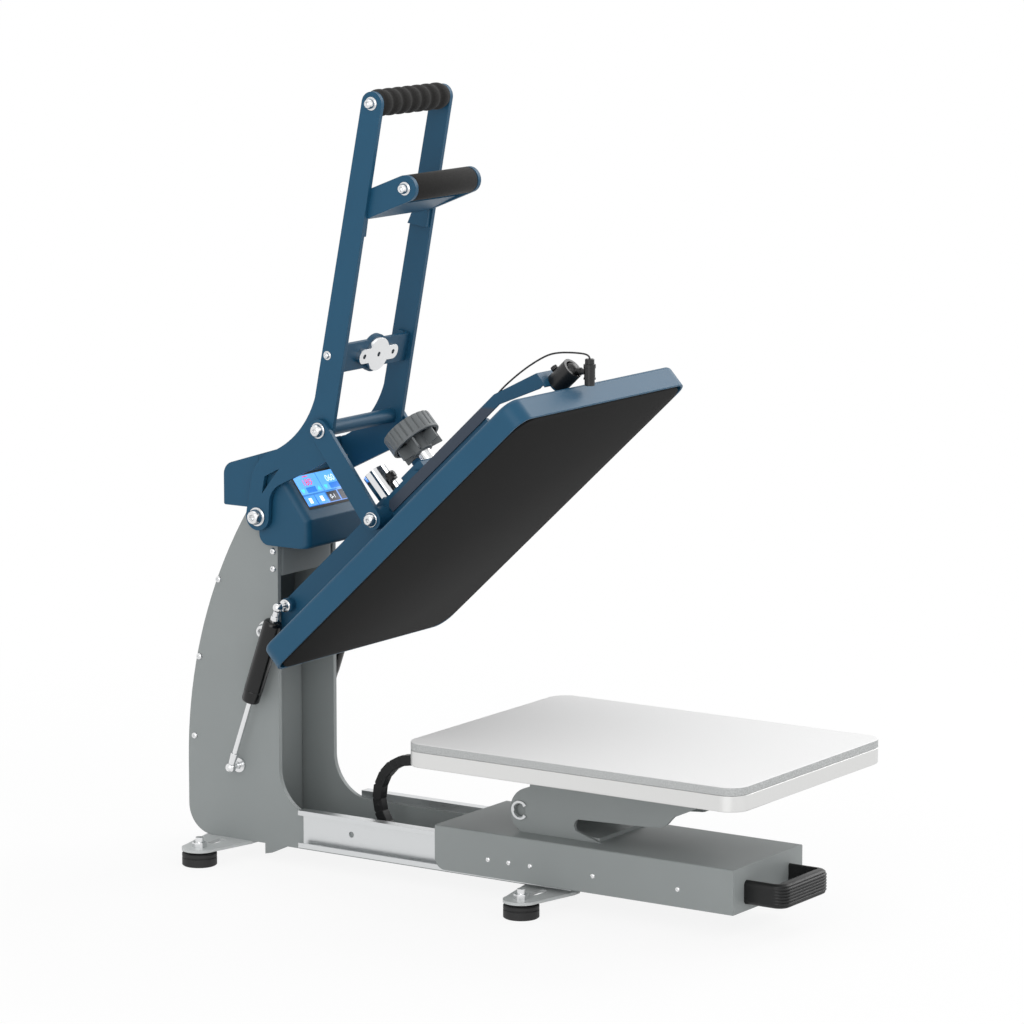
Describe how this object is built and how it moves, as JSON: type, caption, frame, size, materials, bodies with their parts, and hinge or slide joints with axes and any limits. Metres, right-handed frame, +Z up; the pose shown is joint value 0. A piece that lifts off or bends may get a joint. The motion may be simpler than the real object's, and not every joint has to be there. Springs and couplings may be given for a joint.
{
  "type": "flat heat press",
  "caption": "Flat clamshell heat press: a gas-sprung head with heated platen and folding handle, over a padded platen on a pull-out drawer.",
  "frame": {"origin": "middle of the box on the table top, with the drawer out and the head open", "axes": "+X the operator's right, +Y the back of the press, +Z up"},
  "size_m": [0.298, 0.7108, 0.7925],
  "materials": {
    "frame_gray": "satin powder coat",
    "blue_paint": "satin powder coat",
    "zinc_steel": "zinc plated",
    "rail_steel": "zinc plated rolled sheet",
    "chrome_magnet": "polished",
    "black_plastic": "moulded",
    "knob_gray": "moulded",
    "black_rubber": "moulded",
    "black_foam": "fine-celled foam",
    "black_cylinder": "gloss enamel",
    "chrome_rod": "polished",
    "platen_black": "black non-stick coating",
    "platen_aluminium": "machined",
    "silicone_white": "smooth sponge sheet",
    "screen_blue": "lit display"
  },
  "bodies": {
    "frame": {"left_side_plate": "frame_gray", "right_side_plate": "frame_gray", "front_web": "frame_gray", "upper_front_panel": "frame_gray", "pivot_guard": "black_plastic", "base_plate": "frame_gray", "plate_screws": "zinc_steel", "handle_pivot_shaft": "zinc_steel", "head_pivot_shaft": "zinc_steel", "spring_studs": "zinc_steel", "foot_brackets": "frame_gray", "foot_studs": "zinc_steel", "rubber_feet": "black_rubber", "fixed_rails": "rail_steel", "drag_chain": "black_plastic", "chain_anchor": "frame_gray", "control_housing": "blue_paint", "screen_bezel": "black_plastic", "lcd_screen": "screen_blue", "rear_cover": "blue_paint", "power_inlet": "black_plastic"},
    "switch_rocker": {"rocker_switch": "black_plastic"},
    "drawer": {"inner_rails": "rail_steel", "drawer_box": "frame_gray", "drawer_screws": "zinc_steel", "drawer_handle": "black_plastic", "pedestal_base": "frame_gray", "platen_arm": "frame_gray", "pedestal_pin": "zinc_steel", "lower_platen": "platen_aluminium", "silicone_pad": "silicone_white"},
    "head": {"head_arm_plates": "blue_paint", "arm_base_plate": "blue_paint", "screw_block": "blue_paint", "magnet_stand": "blue_paint", "electromagnet": "chrome_magnet", "magnet_plug": "black_plastic", "laser_bracket": "blue_paint", "laser_socket": "black_plastic", "laser_lead": "black_rubber"},
    "clamp_knob": {"clamp_screw": "black_plastic"},
    "laser": {"laser_barrel": "black_plastic"},
    "upper_platen": {"upper_housing": "blue_paint", "heating_plate": "platen_black", "platen_guides": "zinc_steel"},
    "knob": {"pressure_screw": "zinc_steel", "pressure_knob": "knob_gray"},
    "handle": {"left_handle_arm": "blue_paint", "right_handle_arm": "blue_paint", "cross_tube": "blue_paint", "armature": "zinc_steel", "cross_plate": "blue_paint", "top_grip": "black_foam", "lower_grip": "black_foam", "grip_bracket": "blue_paint", "handle_bolts": "zinc_steel"},
    "link_bars": {"links": "blue_paint", "link_pins": "zinc_steel"},
    "gas_rods": {"spring_rods": "chrome_rod"},
    "gas_cylinders": {"spring_cylinders": "black_cylinder"}
  },
  "joints": [
    {"name": "head_pivot", "type": "hinge", "parent": "frame", "child": "head", "pos_m": [0, 0.2555, 0.239], "axis": [1, 0, 0], "range_deg": [0, 42.9], "stiffness_Nm_per_rad": 12, "springref_deg": -171.89},
    {"name": "handle_pivot", "type": "hinge", "parent": "frame", "child": "handle", "pos_m": [0, 0.2561, 0.3575], "axis": [1, 0, 0], "range_deg": [0, 76.86]},
    {"name": "link_pivot", "type": "hinge", "parent": "handle", "child": "link_bars", "pos_m": [0, 0.1759, 0.4523], "axis": [1, 0, 0], "range_deg": [-91.81, 0]},
    {"name": "rod_pivot", "type": "hinge", "parent": "frame", "child": "gas_rods", "pos_m": [0, 0.2895, 0.0964], "axis": [1, 0, 0], "range_deg": [0, 7.25]},
    {"name": "cylinder_slide", "type": "slide", "parent": "gas_rods", "child": "gas_cylinders", "axis": [0, -0.3347, 0.9423], "range_m": [-0.01912, 0]},
    {"name": "drawer_slide", "type": "slide", "parent": "frame", "child": "drawer", "axis": [0, 1, 0], "range_m": [0, 0.165], "deforming": ["drag_chain"]},
    {"name": "platen_height", "type": "slide", "parent": "head", "child": "upper_platen", "axis": [0, 0.6807, 0.7325], "range_m": [0, 0.00399]},
    {"name": "knob_turn", "type": "hinge", "parent": "upper_platen", "child": "knob", "pos_m": [0, 0.07456, 0.40714], "axis": [0, 0.6807, 0.7325], "range_deg": [0, 719.9]},
    {"name": "laser_tilt", "type": "hinge", "parent": "head", "child": "laser", "pos_m": [-0.026, -0.09532, 0.52841], "axis": [1, 0, 0], "range_deg": [-15, 4], "deforming": ["laser_lead"]},
    {"name": "clamp_turn", "type": "hinge", "parent": "head", "child": "clamp_knob", "pos_m": [-0.026, -0.07436, 0.53187], "axis": [0, 0.6807, 0.7325], "range_deg": [0, 360]},
    {"name": "switch_rock", "type": "hinge", "parent": "frame", "child": "switch_rocker", "pos_m": [0.02, 0.299, 0.382], "axis": [1, 0, 0], "range_deg": [0, 12]}
  ],
  "couplings": [
    {"joint": "handle_pivot", "follows": "head_pivot", "ratio": 1.7913},
    {"joint": "link_pivot", "follows": "head_pivot", "ratio": -2.14},
    {"joint": "rod_pivot", "follows": "head_pivot", "ratio": 0.16887},
    {"joint": "cylinder_slide", "follows": "head_pivot", "m_per_rad": -0.02552},
    {"joint": "knob_turn", "follows": "platen_height", "rad_per_m": 3141.6}
  ]
}
